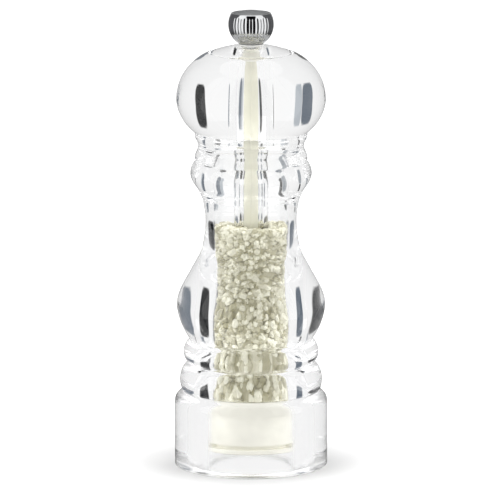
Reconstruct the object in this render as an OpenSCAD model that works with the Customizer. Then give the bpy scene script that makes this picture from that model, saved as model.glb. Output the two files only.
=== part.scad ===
// Hand mill for coarse salt: a clear turned body and head, a cream plastic grinding cartridge
// in the base, a square shaft in a clear tube, and a ribbed metal knob that sets the grind.
// The origin is the centre of the base's underside, and +Z runs up the mill's axis.

/* [Clear body outline] */
// Radius of the base
base_r = 30; // [27:0.5:40]
// Height of the base's straight side
base_side_h = 24.8; // [20:0.1:32]
// Rounding of the base's bottom edge
foot_round = 0.8; // [0.3:0.1:1.5]
// Height of the rounded shoulder above the base
shoulder_h = 4; // [3:0.1:6]
// How far the shoulder comes in from the base
shoulder_in = 1.8; // [1:0.1:2.6]
// Radius of the groove above the base
low_groove_r = 27; // [26:0.1:27.2]
// Rise from the shoulder to the groove above it
low_step_h = 1.1; // [0.6:0.1:2]
// Bulge of the lower bead beyond its groove
low_bead_bulge = 0.95; // [0.4:0.05:1.6]
// Height of the lower bead
low_bead_h = 8.4; // [6:0.1:11]
// Radius of the groove between the lower bead and the ring
mid_groove_r = 24.5; // [23:0.1:25.5]
// Rise from the lower bead to the groove above it
mid_step_h = 2.4; // [1.6:0.1:3.4]
// Radius of the ring under the belly
ring_r = 26.5; // [25.6:0.1:28]
// Height of the ring under the belly
ring_h = 8.2; // [6:0.1:11]
// How far the ring's upper edge comes in from its widest point
ring_in = 1.2; // [0.6:0.1:2]
// Radius of the groove between the ring and the belly
high_groove_r = 23.9; // [22.5:0.1:25]
// Rise from the ring to the groove above it
high_step_h = 1.3; // [0.8:0.1:2.4]
// Largest radius of the belly
belly_r = 29.1; // [27:0.1:35]
// Height from the groove to the belly's widest point
belly_rise_h = 14.1; // [11:0.1:18]
// Height of the belly's rounded upper part
belly_fall_h = 12.2; // [9:0.1:16]
// Radius where the belly turns into the slope
slope_top_r = 24.2; // [22.5:0.1:25.5]
// Radius where the slope turns into the neck
slope_end_r = 20.4; // [19:0.1:21.5]
// Height of the straight slope
slope_h = 6.9; // [5:0.1:10]
// Wall round the reservoir at the neck's narrowest point
neck_wall = 3.05; // [2.5:0.05:4]
// Height from the slope to the neck's narrowest point
neck_fall_h = 13.2; // [9:0.1:18]
// Height of the neck's straight part
neck_flat_h = 0.8; // [0.4:0.1:3]
// Height from the neck's narrowest point to the edge under the collar
neck_rise_h = 9.5; // [6:0.1:14]
// Radius of the edge under the collar
collar_edge_r = 19; // [18.9:0.1:20]
// Radius of the collar bead
collar_r = 23.75; // [22.6:0.05:26]
// Height from the edge to the collar's widest point
collar_rise_h = 10; // [8:0.1:13]
// Height of the collar's rounded lower part
collar_round_h = 5.4; // [4:0.1:7]
// How far the collar's lower part stands in from its widest point
collar_round_in = 2.5; // [1.8:0.1:3.2]
// Height from the collar's widest point to the small step above it
collar_fall_h = 4.5; // [3:0.1:6]
// Radius of the step and lip at the body's mouth
lip_r = 22; // [20.8:0.1:22.5]
// Height of the step under the cove
step_h = 3.6; // [2.6:0.1:5]
// Depth of the cove between the step and the lip
cove_depth = 0.95; // [0.3:0.05:1.5]
// Height of the cove between the step and the lip
cove_h = 5.7; // [4:0.1:8]
// Height of the lip above the cove
lip_h = 2.6; // [1.8:0.1:3.6]

/* [Clear head outline] */
// Largest radius of the ball head
head_r = 29.2; // [26:0.1:35]
// Height from the head's underside to its widest point
head_rise_h = 12.9; // [10:0.1:17]
// Height from the widest point to the head's shoulder
head_fall_h = 14.6; // [11:0.1:19]
// Radius of the head's shoulder
head_shoulder_r = 22.4; // [21:0.1:23.5]
// Radius of the crease round the head's top
crease_r = 16.6; // [14:0.1:19]
// Rise from the shoulder to the crease
crease_h = 3.6; // [2.5:0.1:5]
// Width of the groove at the crease
crease_w = 0.9; // [0.5:0.1:1.6]
// Depth of the groove at the crease
crease_depth = 0.45; // [0.2:0.05:0.8]
// Rise from the crease to the knob's seat
crown_h = 2.8; // [1.5:0.1:4]
// Radius of the flat seat under the knob
seat_r = 5.6; // [5.2:0.1:7]
// Thickness of the head above the insert
crown_wall_h = 2.2; // [1.6:0.1:3]

/* [Bores in the clear parts] */
// Radius of the salt reservoir
reservoir_r = 14.8; // [12.3:0.1:17.8]
// Width of the stop between the reservoir and the recess under it
recess_step = 1.8; // [1.2:0.1:2.6]
// Depth of the recess, up to the cartridge's stop
recess_h = 26.6; // [24:0.1:28]
// Radius of the head's bore, round the shaft and the insert
head_bore_r = 6.1; // [5.8:0.1:8]
// Length of the head's spigot in the reservoir's mouth
spigot_h = 3.6; // [2.5:0.1:6]

/* [Grinding cartridge] */
// How far the cartridge's barrel stands in from its flange
barrel_in = 0.6; // [0.4:0.1:1]
// Wall of the barrel round the bridge
bridge_wall = 2.4; // [2:0.1:3]
// Height of the cartridge's underside above the table
cartridge_z = 7.6; // [6:0.1:9]
// Height of the cartridge's flange
flange_h = 3.4; // [3:0.1:5]
// Height of the two long windows above the flange's lip
window_h = 1.6; // [1:0.1:2]
// Depth of the windows into the flange
window_depth = 1.9; // [1:0.1:2.2]
// Half of the angle that one window takes up
window_half_angle = 56; // [40:1:70]
// Outer radius of the grinding ring
ring_outer_r = 10.5; // [10:0.1:11]
// Height of the grinding ring
ring_body_h = 7; // [5.5:0.1:7.5]
// Wall of the grinding ring at its foot
ring_wall = 1.3; // [1:0.1:1.6]
// How much the ring's bore narrows from its foot to its top
ring_taper = 1.5; // [1.2:0.1:1.9]
// Radial gap between the grinding cone and ring
grind_gap = 0.8; // [0.5:0.05:1.2]
// Number of grooves in the grinding ring
ring_grooves = 24; // [12:1:30]
// Number of grooves in the grinding cone
cone_grooves = 14; // [8:1:18]
// Depth of the grinding grooves
groove_depth = 0.5; // [0.3:0.05:0.6]
// Height of the ring retainer's plate
retainer_h = 2; // [1.6:0.1:2.4]
// How far the retainer sits above the cartridge's underside
retainer_inset = 0.3; // [0.2:0.1:0.6]
// Height of the retainer's rim that carries the grinding ring
retainer_rim_h = 0.5; // [0.3:0.1:0.8]
// Distance from the screws' axes to the retainer's edge
retainer_edge = 1.6; // [1.5:0.05:1.9]
// Radius of the screws in the retainer
retainer_screw_r = 0.8; // [0.6:0.05:0.9]
// Number of screws in the retainer
retainer_screw_count = 3; // [2:1:6]
// Length of the retainer screws under the head
retainer_screw_h = 6; // [4:0.5:8]
// Distance from the grinding ring's side to the screws' axes
retainer_screw_in = 1.5; // [1.4:0.05:1.8]
// How far the bridge sits below the cartridge's top
bridge_sink = 0.4; // [0.2:0.1:0.8]
// Width of the bridge's ring
bridge_ring_w = 1.2; // [1:0.1:1.8]
// Height of the bridge's ring and arms
bridge_h = 2.2; // [1.6:0.1:2.6]
// Number of arms on the bridge
bridge_arms = 3; // [3:1:5]
// Width of one arm
bridge_arm_w = 2.2; // [1.6:0.1:3]
// Height of the bridge's hub
hub_h = 3; // [2.4:0.1:3.4]
// Wall of the bridge's hub round the bush
hub_wall = 1.4; // [1:0.1:2]
// Wall of the turning bush over the shaft's corners
bush_wall = 1.11; // [0.8:0.01:1.5]
// Thickness of the bush's flange
bush_flange_h = 0.9; // [0.6:0.1:1.2]
// How far the bush stands above the bridge
bush_proud = 0.6; // [0.3:0.1:1]
// Wire radius of the spring above the cone
spring_wire_r = 0.3; // [0.2:0.05:0.4]
// Number of turns of the spring
spring_turns = 3; // [2:0.5:4]
// Clearance between the spring and the shaft's corners
spring_gap = 0.35; // [0.2:0.05:0.5]
// Thickness of the washer under the spring
spring_washer_h = 0.5; // [0.3:0.1:0.8]
// Radius of the washer under the cone
cone_washer_r = 5.4; // [4.5:0.1:6]
// Thickness of the washer under the cone
cone_washer_h = 0.8; // [0.5:0.1:1.2]
// Radius of the head of the screw under the cone
screw_head_r = 2.8; // [2.4:0.1:3.4]
// Height of the head of the screw under the cone
screw_head_h = 1.4; // [1:0.1:1.8]

/* [Shaft and tube] */
// Side of the square shaft
shaft_side = 4.3; // [3.8:0.1:4.4]
// Outer radius of the clear tube round the shaft
tube_r = 6.6; // [5.5:0.1:7]
// Clearance between the tube's bore and the shaft's corners
tube_bore_gap = 0.31; // [0.2:0.01:0.8]
// Gap between the tube's top and the head's spigot above it
tube_end_gap = 0.8; // [0.6:0.1:3]
// Height of the collar that carries the tube
tube_collar_h = 1.2; // [0.8:0.1:2]
// Free height under the tube's collar for setting the grind
adjust_room = 1.6; // [1.3:0.1:2.2]
// Radius of the threaded stud on the shaft
stud_r = 2; // [1.5:0.1:2.2]
// Length of the stud above the head's seat
stud_h = 8; // [6:0.5:9]
// Length of the stud's root in the shaft
stud_root_h = 6; // [4:0.5:8]
// Wall of the shaft's side beside the stud's root
stud_root_wall = 0.45; // [0.3:0.05:0.7]
// Radius of the screw under the cone
cone_screw_r = 1.5; // [1.2:0.05:1.6]
// Length of the screw under the cone
cone_screw_h = 9; // [6:0.5:12]

/* [Head insert] */
// Height of the square-holed insert at the top of the head's bore
insert_h = 8.6; // [7:0.1:9]
// How far the shaft's top stands below the insert's top
shaft_end_gap = 1.4; // [1:0.1:3]

/* [Knob] */
// Radius of the ball knob over its ribs
knob_r = 8.9; // [8:0.1:10]
// How far the knob's rim comes in from its widest point
knob_rim_in = 1.16; // [0.8:0.02:1.5]
// Number of ribs round the knob
knob_ribs = 36; // [18:1:40]
// Depth of the grooves between the ribs
knob_groove_depth = 0.3; // [0.2:0.05:0.4]
// Height of the grooves between the ribs
knob_groove_h = 9.6; // [8:0.1:10]
// Height of the plain edge above the grooves
knob_edge_h = 0.3; // [0.2:0.1:0.6]
// Width of the knob's rim round the disc in its top
knob_rim_w = 0.69; // [0.5:0.01:1.2]
// Thickness of the disc at its edge
cap_edge_h = 1; // [0.8:0.1:1.4]
// Rise of the disc's dome
cap_dome_h = 0.7; // [0.4:0.1:1.2]
// Wall of the threaded insert over the stud
knob_insert_wall = 1.4; // [1:0.1:1.6]
// Wall of the knob's foot round the insert
knob_foot_wall = 1.39; // [1:0.01:1.6]
// Thickness of the washer under the knob
knob_washer_h = 0.5; // [0.4:0.1:1]
// How far the washer stands out from the knob's foot
knob_washer_out = 0.11; // [0:0.01:0.3]

/* [Salt] */
// Height of the salt above the cartridge
salt_h = 69.5; // [30:0.5:78]

/* [Fits] */
// Running clearance round a turning piece
run_gap = 0.05; // [0.02:0.01:0.1]
// Loose clearance between pieces that only pass each other
free_gap = 0.25; // [0.15:0.05:0.3]
// Slip clearance of a piece that is pressed or clipped into another
slip_gap = 0.1; // [0.05:0.05:0.15]
// Clearance on each side of the square shaft in a square hole
square_gap = 0.05; // [0.03:0.01:0.1]
// Gap between two faces that turn on each other
face_gap = 0.15; // [0.1:0.05:0.2]

/* [Hidden] */
$fn = 96;
clear = [0.9, 0.95, 0.97, 0.35];
cream = [0.95, 0.93, 0.85];
steel = [0.75, 0.76, 0.78];
eps = 0.01;

// Heights of the outline's turning points, each above the one before it
shoulder_z = base_side_h + shoulder_h;
low_groove_z = shoulder_z + low_step_h;
low_bead_z = low_groove_z + low_bead_h;
mid_groove_z = low_bead_z + mid_step_h;
ring_z = mid_groove_z + 0.45 * ring_h;
ring_top_z = mid_groove_z + ring_h;
high_groove_z = ring_top_z + high_step_h;
belly_z = high_groove_z + belly_rise_h;
slope_z = belly_z + belly_fall_h;
slope_end_z = slope_z + slope_h;
neck_z = slope_end_z + neck_fall_h;
collar_edge_z = neck_z + neck_rise_h;
collar_z = collar_edge_z + collar_rise_h;
step_z = collar_z + collar_fall_h;
cove_z = step_z + step_h;
lip_z = cove_z + cove_h;
mouth_z = lip_z + lip_h;
neck_r = reservoir_r + neck_wall;
slope_lean = atan((slope_top_r - slope_end_r) / slope_h);

// Heights in the head
head_z = mouth_z + face_gap;
head_wide_z = head_z + head_rise_h;
head_shoulder_z = head_wide_z + head_fall_h;
crease_z = head_shoulder_z + crease_h;
seat_z = crease_z + crown_h;
insert_top_z = seat_z - crown_wall_h;
insert_z = insert_top_z - insert_h;
insert_r = head_bore_r - run_gap;

// Heights in the cartridge, from its underside to the reservoir
flange_z = cartridge_z + flange_h;
retainer_z = cartridge_z + retainer_inset;
ring_body_z = retainer_z + retainer_h + retainer_rim_h;
ring_body_top_z = ring_body_z + ring_body_h;
bridge_top_z = recess_h - bridge_sink;
bridge_z = bridge_top_z - bridge_h;
hub_z = bridge_top_z - hub_h;
bush_flange_z = hub_z - face_gap - bush_flange_h;
bush_top_z = bridge_top_z + bush_proud;
cone_z = ring_body_z - 0.2;
cone_top_z = ring_body_top_z + 0.5;
spring_z = cone_top_z + spring_washer_h;

// Radii in the cartridge, each from the piece that it fits
recess_r = reservoir_r + recess_step;
flange_r = recess_r - slip_gap;
barrel_r = flange_r - barrel_in;
bridge_r = barrel_r - bridge_wall;
ring_foot_r = ring_outer_r - ring_wall;
ring_top_r = ring_foot_r - ring_taper;
retainer_screw_ring_r = ring_outer_r + retainer_screw_in;
retainer_r = retainer_screw_ring_r + retainer_edge;

// The shaft's group
shaft_half_diagonal = shaft_side / sqrt(2);
bush_r = shaft_half_diagonal + bush_wall;
hub_r = bush_r + run_gap + hub_wall;
collar_z0 = bush_top_z + adjust_room;
tube_z = collar_z0 + tube_collar_h;
tube_top_z = head_z - spigot_h - tube_end_gap;
tube_bore_r = shaft_half_diagonal + tube_bore_gap;
shaft_top_z = insert_top_z - shaft_end_gap;
stud_root_r = shaft_side / 2 - stud_root_wall;
stud_top_z = seat_z + stud_h;

// The knob's group
knob_insert_r = stud_r + knob_insert_wall;
knob_foot_r = knob_insert_r + knob_foot_wall;
knob_rim_r = knob_r - knob_rim_in;
knob_z = seat_z + face_gap + knob_washer_h + face_gap;
knob_centre_z = knob_z + sqrt(knob_r * knob_r - knob_foot_r * knob_foot_r);
knob_rim_z = knob_centre_z + sqrt(knob_r * knob_r - knob_rim_r * knob_rim_r);
cap_r = knob_rim_r - knob_rim_w - run_gap;
cap_z = knob_rim_z - cap_edge_h;

// Points on the circular arc from p to q, whose middle stands s off the chord to the right
// of the way from q to p, so that a positive s bulges an outline that is drawn upwards.
function arc(p, q, s, n = 6) =
    let (
        d = q - p,
        c = norm(d),
        m = (p + q) / 2,
        u = [d[1], -d[0]] / c,
        r = (c * c / 4 + s * s) / (2 * abs(s)),
        o = m + u * (s - sign(s) * r),
        a = asin(min(1, c / (2 * r))),
        w = sign(s) * u
    )
    [for (i = [0:n]) let (t = -a + 2 * a * i / n, v = d / c)
        o + w * r * cos(t) + v * r * sin(t)];

// Points on a smooth curve from p to q of an outline that is drawn upwards. It leaves p and
// reaches q leaning outwards by the two angles from upright, and hold is how long it keeps
// them, as a share of the way.
function bend(p, q, lean_p, lean_q, n = 8, hold = 0.33, first = 0) =
    let (
        h = hold * norm(q - p),
        a = p + h * [sin(lean_p), cos(lean_p)],
        b = q - h * [sin(lean_q), cos(lean_q)]
    )
    [for (i = [first:n]) let (t = i / n, u = 1 - t)
        u * u * u * p + 3 * u * u * t * a + 3 * u * t * t * b + t * t * t * q];

// The clear body's outer outline, from the table up to its mouth
function body_outline() =
    let (
        shoulder = [base_r - shoulder_in, shoulder_z],
        belly = [belly_r, belly_z],
        slope_end = [slope_end_r, slope_end_z],
        collar = [collar_r, collar_z],
        collar_round = collar - [collar_round_in, collar_round_h]
    )
    concat(
        arc([base_r - foot_round, 0], [base_r, foot_round], 0.29 * foot_round, 3),
        bend([base_r, base_side_h], shoulder, 0, -60, 6, 0.36),
        arc([low_groove_r, low_groove_z], [low_groove_r, low_bead_z], low_bead_bulge, 8),
        arc([low_groove_r - 0.1, low_bead_z + 0.2], [mid_groove_r, mid_groove_z], 0.35, 4),
        arc([mid_groove_r + 0.1, mid_groove_z + 0.4], [ring_r, ring_z], 0.35, 5),
        arc([ring_r, ring_z + 0.2], [ring_r - ring_in, ring_top_z], 0.35, 5),
        bend([high_groove_r, high_groove_z], belly, 37, 0, 9, 0.31),
        bend(belly, [slope_top_r, slope_z], 0, -slope_lean, 9, 0.31, 1),
        bend(slope_end, [neck_r, neck_z], -slope_lean, 0, 8, 0.24),
        bend([neck_r, neck_z + neck_flat_h], [collar_edge_r, collar_edge_z], 0, 13, 5),
        arc([collar_edge_r + 0.3, collar_edge_z + 0.6], collar_round - [0.1, 0.2], -0.15, 3),
        bend(collar_round, collar, 43, 0, 6, 0.29),
        bend(collar, [lip_r + 0.1, step_z], 0, -44, 6, 0.33, 1),
        arc([lip_r, step_z + 0.3], [lip_r - 0.4, cove_z], 0.2, 3),
        arc([lip_r - 0.4, cove_z + 0.2], [lip_r - 0.3, lip_z], -cove_depth, 6),
        arc([lip_r - 0.2, lip_z + 0.2], [lip_r, mouth_z], 0.15, 3)
    );

// The head's outer outline, from its underside up to the knob's seat
function head_outline() =
    let (widest = [head_r, head_wide_z])
    concat(
        bend([lip_r + 0.3, head_z], widest, 53, 0, 11, 0.33),
        bend(widest, [head_shoulder_r, head_shoulder_z], 0, -49.5, 11, 0.347, 1),
        arc([head_shoulder_r - 0.1, head_shoulder_z + 0.1], [crease_r, crease_z], 0.3, 4),
        [[crease_r - crease_w / 2, crease_z - crease_depth]],
        arc([crease_r - crease_w, crease_z + 0.1], [seat_r, seat_z], 0.3, 5)
    );

module tube(r_out, r_in, z0, z1) {
    translate([0, 0, z0])
        difference() {
            cylinder(r = r_out, h = z1 - z0);
            translate([0, 0, -1]) cylinder(r = r_in, h = z1 - z0 + 2);
        }
}

module disc(r, z0, z1) {
    translate([0, 0, z0]) cylinder(r = r, h = z1 - z0);
}

// A square bar, corner to the front, from one height to another
module square_bar(side, z0, z1) {
    translate([0, 0, z0])
        rotate([0, 0, 45])
            translate([-side / 2, -side / 2, 0]) cube([side, side, z1 - z0]);
}

module body_shell() {
    color(clear)
        rotate_extrude()
            polygon(concat(
                [[recess_r, 0]],
                body_outline(),
                [[reservoir_r + 0.4, mouth_z], [reservoir_r, mouth_z - 0.4],
                 [reservoir_r, recess_h], [recess_r, recess_h]]
            ));
}

module salt_charge() {
    color([0.86, 0.83, 0.72])
        tube(reservoir_r - free_gap, tube_r + free_gap, recess_h, recess_h + salt_h);
}

module mechanism_housing() {
    seat_w = 2;
    color(cream)
        difference() {
            rotate_extrude()
                polygon([
                    [retainer_r + slip_gap, cartridge_z],
                    [flange_r - 0.3, cartridge_z],
                    [flange_r, cartridge_z + 0.3],
                    [flange_r, flange_z],
                    [barrel_r, flange_z],
                    [barrel_r, recess_h],
                    [bridge_r + slip_gap, recess_h],
                    [bridge_r + slip_gap, bridge_z],
                    [bridge_r - bridge_ring_w, bridge_z],
                    [ring_outer_r - seat_w, ring_body_top_z + seat_w / 4],
                    [ring_outer_r - seat_w, ring_body_top_z],
                    [ring_outer_r + slip_gap, ring_body_top_z],
                    [ring_outer_r + slip_gap, retainer_z + retainer_h],
                    [retainer_r + slip_gap, retainer_z + retainer_h]
                ]);
            flange_windows();
            retainer_screw_places()
                disc(retainer_screw_r + 0.03, retainer_z, retainer_z + retainer_screw_h + 1);
        }
}

// The flange's two windows: a ring groove, less the wedges left standing at both sides
module flange_windows() {
    z0 = flange_z - window_h;
    z1 = flange_z + 1;
    difference() {
        tube(flange_r + 1, flange_r - window_depth, z0, z1);
        for (side = [0, 180])
            rotate([0, 0, side])
                translate([0, 0, z0 - 1])
                    linear_extrude(z1 - z0 + 2)
                        polygon([
                            [0, 0],
                            3 * flange_r * [sin(window_half_angle), cos(window_half_angle)],
                            3 * flange_r * [sin(180 - window_half_angle), cos(180 - window_half_angle)]
                        ]);
        tube(barrel_r, 1, flange_z, z1 + 1);
    }
}

module retainer_screw_places() {
    for (i = [0:retainer_screw_count - 1])
        rotate([0, 0, 90 + i * 360 / retainer_screw_count])
            translate([retainer_screw_ring_r, 0, 0])
                children();
}

module grinding_ring() {
    slope = atan((ring_foot_r - ring_top_r) / ring_body_h);
    color(steel)
        difference() {
            rotate_extrude()
                polygon([
                    [ring_foot_r, ring_body_z],
                    [ring_outer_r, ring_body_z],
                    [ring_outer_r, ring_body_top_z],
                    [ring_top_r, ring_body_top_z]
                ]);
            for (i = [0:ring_grooves - 1])
                rotate([0, 0, i * 360 / ring_grooves])
                    translate([ring_foot_r, 0, ring_body_z])
                        rotate([0, -slope, 0])
                            rotate([0, 0, 45])
                                translate([-groove_depth / 2, -groove_depth / 2, -1])
                                    cube([groove_depth, groove_depth, ring_body_h + 3]);
        }
}

module ring_retainer() {
    hole_r = ring_foot_r + 0.3;
    color(cream)
        difference() {
            union() {
                tube(retainer_r, hole_r, retainer_z, retainer_z + retainer_h);
                tube(ring_outer_r, hole_r, retainer_z + eps, ring_body_z);
            }
            retainer_screw_places() {
                disc(retainer_screw_r + 0.1, retainer_z - 1, ring_body_z + 1);
                disc(retainer_screw_r + 0.6, retainer_z - 1, retainer_z + 0.9);
            }
        }
}

module retainer_screws() {
    slot_w = 0.3;
    color(steel)
        retainer_screw_places()
            difference() {
                union() {
                    disc(retainer_screw_r + 0.5, retainer_z + 0.05, retainer_z + 0.9);
                    disc(retainer_screw_r, retainer_z + 0.8, retainer_z + retainer_screw_h);
                }
                translate([-2, -slot_w / 2, retainer_z - 1]) cube([4, slot_w, 1.4]);
            }
}

module guide_bridge() {
    color(cream)
        difference() {
            union() {
                tube(bridge_r, bridge_r - bridge_ring_w, bridge_z, bridge_top_z);
                disc(hub_r, hub_z, bridge_top_z);
                for (i = [0:bridge_arms - 1])
                    rotate([0, 0, 30 + i * 360 / bridge_arms])
                        translate([0, -bridge_arm_w / 2, bridge_z])
                            cube([bridge_r - bridge_ring_w / 2, bridge_arm_w, bridge_h]);
            }
            disc(bush_r + run_gap, hub_z - 1, bridge_top_z + 1);
        }
}

module guide_bush() {
    color(cream)
        difference() {
            union() {
                disc(bush_r, bush_flange_z + eps, bush_top_z);
                disc(hub_r - 0.2, bush_flange_z, bush_flange_z + bush_flange_h);
            }
            square_bar(shaft_side + 2 * square_gap, bush_flange_z - 1, bush_top_z + 1);
        }
}

module shaft() {
    color([0.9, 0.88, 0.76])
        difference() {
            square_bar(shaft_side, cone_z + 0.2, shaft_top_z);
            disc(cone_screw_r, cone_z - 1, cone_z + cone_screw_h + 0.5);
            disc(stud_root_r, shaft_top_z - stud_root_h, shaft_top_z + 1);
        }
}

// The stud's root is turned down to sit in the shaft, and its upper part is threaded
module shaft_stud() {
    color(steel) {
        disc(stud_root_r, shaft_top_z - stud_root_h + 0.3, shaft_top_z + eps);
        disc(stud_r, shaft_top_z, stud_top_z - 0.4);
        translate([0, 0, stud_top_z - 0.4 - eps])
            cylinder(r1 = stud_r, r2 = stud_r - 0.4, h = 0.4 + eps);
    }
}

module shaft_tube() {
    color(clear) tube(tube_r, tube_bore_r, tube_z, tube_top_z);
}

module tube_collar() {
    color(cream)
        difference() {
            disc(tube_r - 0.2, collar_z0, tube_z);
            square_bar(shaft_side + square_gap, collar_z0 - 1, tube_z + 1);
        }
}

module grinding_cone() {
    slope = atan((ring_foot_r - ring_top_r) / ring_body_h);
    foot_r = ring_foot_r - grind_gap;
    top_r = ring_top_r - grind_gap;
    color(steel)
        difference() {
            rotate_extrude()
                polygon([
                    [0, cone_z],
                    [foot_r, cone_z],
                    [foot_r, ring_body_z],
                    [top_r, ring_body_top_z],
                    [top_r - 1.2, cone_top_z],
                    [0, cone_top_z]
                ]);
            square_bar(shaft_side + square_gap, cone_z - 1, cone_top_z + 1);
            for (i = [0:cone_grooves - 1])
                rotate([0, 0, i * 360 / cone_grooves])
                    translate([foot_r, 0, ring_body_z])
                        rotate([18, -slope, 0])
                            rotate([0, 0, 45])
                                translate([-groove_depth, -groove_depth, -2])
                                    cube([2 * groove_depth, 2 * groove_depth, ring_body_h + 5]);
        }
}

// A ring of points round the spring's wire at turn fraction t
function spring_ring(t, coil_r, rise, sides) =
    [for (k = [0:sides - 1])
        let (a = 360 * t, b = 360 * k / sides, r = coil_r + spring_wire_r * cos(b))
        [r * cos(a), r * sin(a), rise * t + spring_wire_r * sin(b)]];

module cone_spring() {
    coil_r = shaft_half_diagonal + spring_wire_r + spring_gap;
    free_h = bush_flange_z - spring_z - 2 * spring_wire_r - 0.1;
    rise = free_h / spring_turns;
    steps = 20;
    sides = 8;
    count = round(steps * spring_turns);
    points = [for (i = [0:count]) each spring_ring(i / steps, coil_r, rise, sides)];
    walls = [for (i = [0:count - 1], k = [0:sides - 1])
        [i * sides + k, i * sides + (k + 1) % sides,
         (i + 1) * sides + (k + 1) % sides, (i + 1) * sides + k]];
    ends = [[for (k = [sides - 1:-1:0]) k], [for (k = [0:sides - 1]) count * sides + k]];
    color(steel)
        translate([0, 0, spring_z + spring_wire_r + 0.05])
            polyhedron(points, concat(walls, ends));
}

module spring_washer() {
    bore_r = shaft_half_diagonal + slip_gap;
    color(steel) tube(bore_r + 1.2, bore_r, cone_top_z, spring_z);
}

module cone_washer() {
    color(steel) tube(cone_washer_r, cone_screw_r + slip_gap, cone_z - cone_washer_h, cone_z);
}

module cone_screw() {
    head_z0 = cone_z - cone_washer_h - screw_head_h;
    slot_w = 0.6;
    color(steel)
        difference() {
            union() {
                disc(screw_head_r, head_z0, head_z0 + screw_head_h);
                disc(cone_screw_r - run_gap, head_z0 + eps, cone_z + cone_screw_h);
            }
            for (turn = [0, 90])
                rotate([0, 0, turn])
                    translate([-1.8, -slot_w / 2, head_z0 - 1]) cube([3.6, slot_w, 1.8]);
        }
}

module head_shell() {
    spigot_r = reservoir_r - free_gap;
    color(clear)
        rotate_extrude()
            polygon(concat(
                [[head_bore_r, head_z - spigot_h], [spigot_r - 0.4, head_z - spigot_h],
                 [spigot_r, head_z - spigot_h + 0.4], [spigot_r, head_z]],
                head_outline(),
                [[stud_r + free_gap, seat_z], [stud_r + free_gap, insert_top_z + slip_gap],
                 [head_bore_r, insert_top_z + slip_gap]]
            ));
}

module head_drive_insert() {
    color(cream)
        difference() {
            disc(insert_r, insert_z, insert_top_z);
            square_bar(shaft_side + 2 * square_gap, insert_z - 1, shaft_top_z + 0.6);
            disc(stud_r + free_gap, insert_z, insert_top_z + 1);
        }
}

module knob_washer() {
    z0 = seat_z + face_gap;
    r = knob_foot_r + knob_washer_out;
    color([0.92, 0.92, 0.9]) tube(r, stud_r + free_gap, z0, z0 + knob_washer_h);
}

module knob() {
    foot = [knob_foot_r, knob_z];
    rim = [knob_rim_r, knob_rim_z];
    half_chord = norm(rim - foot) / 2;
    bulge = knob_r - sqrt(knob_r * knob_r - half_chord * half_chord);
    groove_z = knob_rim_z - knob_edge_h - knob_groove_h;
    bore_top_z = stud_top_z + 0.9;
    color([0.8, 0.81, 0.83])
        difference() {
            rotate_extrude()
                polygon(concat(
                    [[knob_insert_r, knob_z]],
                    arc(foot, rim, bulge, 14),
                    [[cap_r + run_gap, knob_rim_z], [cap_r + run_gap, cap_z], [0, cap_z],
                     [0, bore_top_z], [knob_insert_r, bore_top_z]]
                ));
            for (i = [0:knob_ribs - 1])
                rotate([0, 0, i * 360 / knob_ribs])
                    translate([knob_r + 0.2, 0, groove_z])
                        cylinder(r = 0.2 + knob_groove_depth, h = knob_groove_h, $fn = 24);
        }
}

module knob_insert() {
    color([0.8, 0.68, 0.4])
        tube(knob_insert_r - eps, stud_r + run_gap, knob_z + 0.1, stud_top_z + 0.8);
}

module knob_cap() {
    color([0.7, 0.71, 0.72])
        rotate_extrude()
            polygon(concat(
                [[0, cap_z], [cap_r, cap_z]],
                arc([cap_r, knob_rim_z], [0, knob_rim_z + cap_dome_h], 0.18 * cap_dome_h)
            ));
}

body_shell();
salt_charge();
mechanism_housing();
grinding_ring();
ring_retainer();
retainer_screws();
guide_bridge();
guide_bush();
shaft();
shaft_stud();
shaft_tube();
tube_collar();
grinding_cone();
cone_spring();
spring_washer();
cone_washer();
cone_screw();
head_shell();
head_drive_insert();
knob_washer();
knob();
knob_insert();
knob_cap();
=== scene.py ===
"""Looks of a clear turned salt mill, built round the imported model.

Laid out as an add-on: the property groups hold the sizes, colours and lighting that a user
would change, each operator makes one piece or one group of like pieces, and main() runs them
in order. All lengths are in metres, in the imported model's frame.
"""

import math

import bpy
import numpy as np
from bpy.props import FloatProperty, FloatVectorProperty, IntProperty, PointerProperty
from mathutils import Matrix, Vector


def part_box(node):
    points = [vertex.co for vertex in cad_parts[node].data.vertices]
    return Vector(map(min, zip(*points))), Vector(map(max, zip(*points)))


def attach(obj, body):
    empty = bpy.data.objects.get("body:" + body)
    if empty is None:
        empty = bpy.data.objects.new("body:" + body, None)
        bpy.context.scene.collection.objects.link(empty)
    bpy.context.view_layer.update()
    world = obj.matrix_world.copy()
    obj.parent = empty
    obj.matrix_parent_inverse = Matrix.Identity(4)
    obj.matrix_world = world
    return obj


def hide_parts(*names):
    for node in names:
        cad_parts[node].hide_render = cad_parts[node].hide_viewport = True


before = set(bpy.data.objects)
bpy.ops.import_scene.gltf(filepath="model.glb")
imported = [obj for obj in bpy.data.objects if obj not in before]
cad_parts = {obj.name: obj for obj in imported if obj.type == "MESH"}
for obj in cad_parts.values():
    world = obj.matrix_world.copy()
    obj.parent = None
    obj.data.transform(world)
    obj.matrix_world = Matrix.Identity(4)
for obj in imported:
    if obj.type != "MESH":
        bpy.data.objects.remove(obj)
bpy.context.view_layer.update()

bl_info = {
    "name": "Clear salt mill",
    "version": (1, 0, 0),
    "blender": (4, 5, 0),
    "location": "3D View > Sidebar > Mill",
    "description": "Builds the looks of a clear turned salt mill round its packed model",
    "category": "Object",
}

MM = 0.001
POINT_GAP = 0.25 * MM  # least distance between the points of a clear piece's outline
SHARP_ANGLE = 50  # degrees between faces past which a clear piece shows an edge


# ---------------------------------------------------------------- places from the frame


def low(node):
    """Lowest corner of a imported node."""
    return np.array(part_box(node)[0])


def high(node):
    """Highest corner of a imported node."""
    return np.array(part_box(node)[1])


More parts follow.
